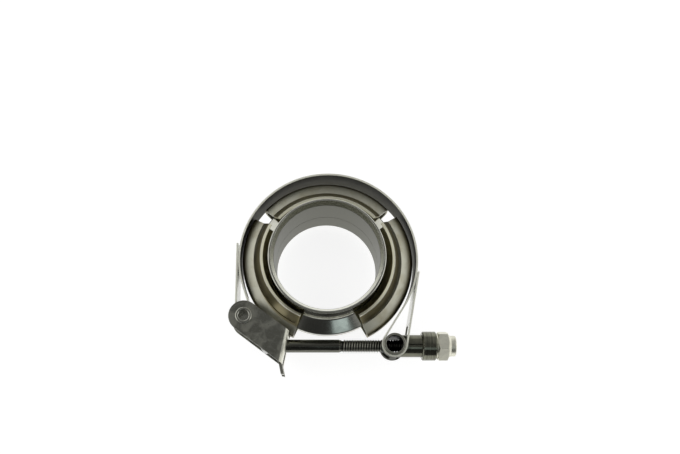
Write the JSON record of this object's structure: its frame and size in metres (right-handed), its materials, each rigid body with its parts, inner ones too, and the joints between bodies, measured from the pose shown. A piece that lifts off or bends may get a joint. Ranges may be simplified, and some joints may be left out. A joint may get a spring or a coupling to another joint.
{
  "type": "v band clamp",
  "caption": "Quick-release V-band clamp with a latch, T-bolt and lock nut, closed loosely round a mated male and female weld flange pair for a 2 inch pipe.",
  "frame": {"origin": "on the bore's axis, on the plane where the two flanges meet", "axes": "+Z along the bore, out of the male flange's end; +X along the bolt towards its nut, on the -Y side of the ring"},
  "size_m": [0.1094, 0.1, 0.039],
  "materials": {
    "flange_steel": "polished",
    "strap_steel": "polished",
    "retainer_steel": "polished",
    "latch_steel": "satin",
    "pivot_steel": "polished",
    "bolt_steel": "polished",
    "trunnion_steel": "polished",
    "collar_steel": "polished",
    "nut_steel": "satin"
  },
  "bodies": {
    "band": {"band_strap": "strap_steel", "retainer_top": "retainer_steel", "retainer_right": "retainer_steel", "retainer_left": "retainer_steel", "flange_upper": "flange_steel", "flange_lower": "flange_steel"},
    "latch": {"latch_bracket": "latch_steel", "latch_pivot": "pivot_steel"},
    "trunnion": {"trunnion": "trunnion_steel", "collar": "collar_steel"},
    "bolt": {"t_bolt": "bolt_steel"},
    "nut": {"lock_nut": "nut_steel"}
  },
  "joints": [
    {"name": "bolt_swing", "type": "hinge", "parent": "band", "child": "trunnion", "pos_m": [0.03226, -0.04059, 0], "axis": [0, 0, 1], "range_deg": [0, 25]},
    {"name": "bolt_draw", "type": "slide", "parent": "trunnion", "child": "bolt", "axis": [1, 0, 0], "range_m": [0, 0.0045]},
    {"name": "nut_turn", "type": "hinge", "parent": "trunnion", "child": "nut", "pos_m": [0.058, -0.04059, 0], "axis": [1, 0, 0], "range_deg": [-1300, 0]},
    {"name": "latch_swing", "type": "hinge", "parent": "band", "child": "latch", "pos_m": [-0.03978, -0.02726, 0], "axis": [0, 0, 1], "range_deg": [-5, 0]}
  ],
  "couplings": [
    {"joint": "nut_turn", "follows": "bolt_draw", "rad_per_m": -4947.4},
    {"joint": "latch_swing", "follows": "bolt_swing", "ratio": -0.2}
  ]
}
